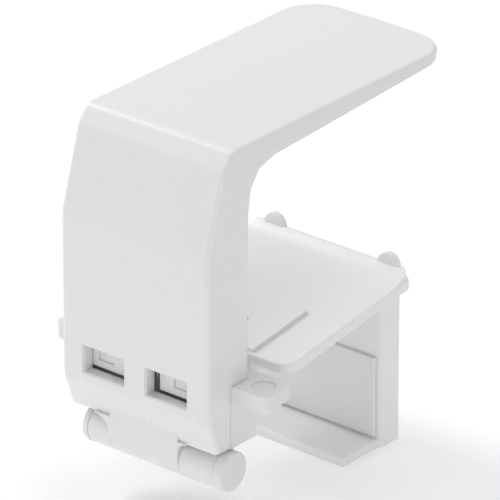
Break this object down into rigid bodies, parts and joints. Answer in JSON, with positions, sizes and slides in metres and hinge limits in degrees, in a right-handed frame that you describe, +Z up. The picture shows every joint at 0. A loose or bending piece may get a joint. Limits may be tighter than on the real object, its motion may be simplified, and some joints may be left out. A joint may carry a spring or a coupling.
{
  "type": "lid latch",
  "caption": "Child-safety lid latch: a ratcheting clamp grips a rim and carries a hinged arm that reaches over the closed lid and locks with squeeze tabs.",
  "frame": {"origin": "on the floor under the middle of the latch's bounding box", "axes": "+X across the latch, +Y from the arm's front face back over the lid, +Z up"},
  "size_m": [0.087, 0.122, 0.1295],
  "materials": {
    "gloss_white": "satin gloss",
    "satin_white": "satin",
    "soft_pad": "matte",
    "steel": "satin"
  },
  "bodies": {
    "base": {"base_housing": "satin_white", "base_back_plate": "satin_white", "base_screws": "steel", "front_pad": "soft_pad", "ratchet_track": "satin_white", "hinge_pin": "gloss_white", "hinge_pin_cap": "gloss_white"},
    "arm": {"arm_front_shell": "gloss_white", "arm_rear_shell": "satin_white", "arm_screws": "steel", "latch_spring_left": "steel", "latch_spring_right": "steel"},
    "latch_left": {"squeeze_latch_left": "satin_white"},
    "latch_right": {"squeeze_latch_right": "satin_white"},
    "jaw": {"rear_jaw": "gloss_white", "track_cover": "satin_white", "cover_screws": "steel", "rear_pad": "soft_pad", "plate_pads": "soft_pad", "pawl_pin": "steel"},
    "pawl": {"release_pawl": "satin_white"}
  },
  "joints": [
    {"name": "arm_hinge", "type": "hinge", "parent": "base", "child": "arm", "pos_m": [0, -0.0512, 0.0218], "axis": [1, 0, 0], "range_deg": [0, 95]},
    {"name": "latch_left_slide", "type": "slide", "parent": "arm", "child": "latch_left", "axis": [1, 0, 0], "range_m": [0, 0.002], "stiffness_N_per_m": 1500, "springref_m": -0.001, "deforming": ["latch_spring_left"]},
    {"name": "latch_right_slide", "type": "slide", "parent": "arm", "child": "latch_right", "axis": [-1, 0, 0], "range_m": [0, 0.002], "stiffness_N_per_m": 1500, "springref_m": -0.001, "deforming": ["latch_spring_right"]},
    {"name": "jaw_slide", "type": "slide", "parent": "base", "child": "jaw", "axis": [0, 0.9905, 0.1374], "range_m": [-0.006, 0.012]},
    {"name": "pawl_lever", "type": "hinge", "parent": "jaw", "child": "pawl", "pos_m": [0, -0.01587, 0.04785], "axis": [1, 0, 0], "range_deg": [0, 8], "stiffness_Nm_per_rad": 0.02, "springref_deg": -5.73}
  ]
}
